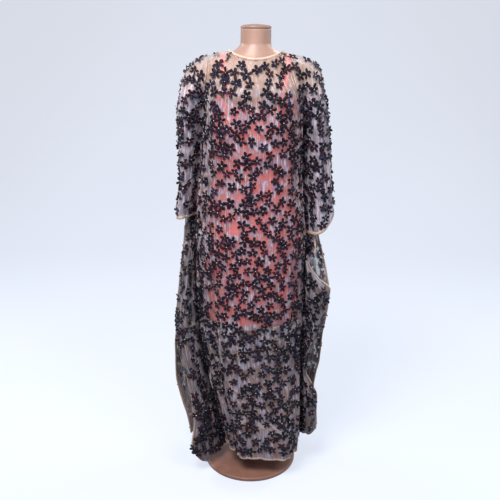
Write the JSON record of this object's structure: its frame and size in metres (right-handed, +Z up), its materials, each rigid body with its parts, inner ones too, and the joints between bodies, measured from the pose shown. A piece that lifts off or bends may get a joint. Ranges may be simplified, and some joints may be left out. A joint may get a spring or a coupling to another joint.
{
  "type": "grand boubou robe on limbless dress form",
  "caption": "Full-length sheer crinkled boubou robe with dark flower appliques over a coral slip, on a skin-toned dress form with a round base.",
  "frame": {"origin": "centre of the underside of the base plate", "axes": "+Z up, +Y towards the robe's front, +X to the right of someone who looks at its back"},
  "size_m": [0.5299, 0.322, 1.5],
  "materials": {
    "robe_cloth": "sheer crinkled chiffon with stitched cloth flowers",
    "binding": "matte folded binding",
    "slip_cloth": "soft satin lining",
    "form_skin": "satin",
    "stand_paint": "satin"
  },
  "bodies": {
    "root": {"body_back": "robe_cloth", "body_front": "robe_cloth", "sleeve_left": "robe_cloth", "sleeve_right": "robe_cloth", "wing_left_back": "robe_cloth", "wing_left_front": "robe_cloth", "wing_right_back": "robe_cloth", "wing_right_front": "robe_cloth", "cuff_left": "binding", "cuff_right": "binding", "edge_left_back": "binding", "edge_left_front": "binding", "edge_right_back": "binding", "edge_right_front": "binding", "neck_binding": "binding", "hem_binding": "binding", "slip_back": "slip_cloth", "slip_front": "slip_cloth", "strap_left": "slip_cloth", "strap_right": "slip_cloth", "form_torso": "form_skin", "neck_cap": "form_skin", "pole": "stand_paint", "base_plate": "stand_paint"}
  },
  "joints": []
}
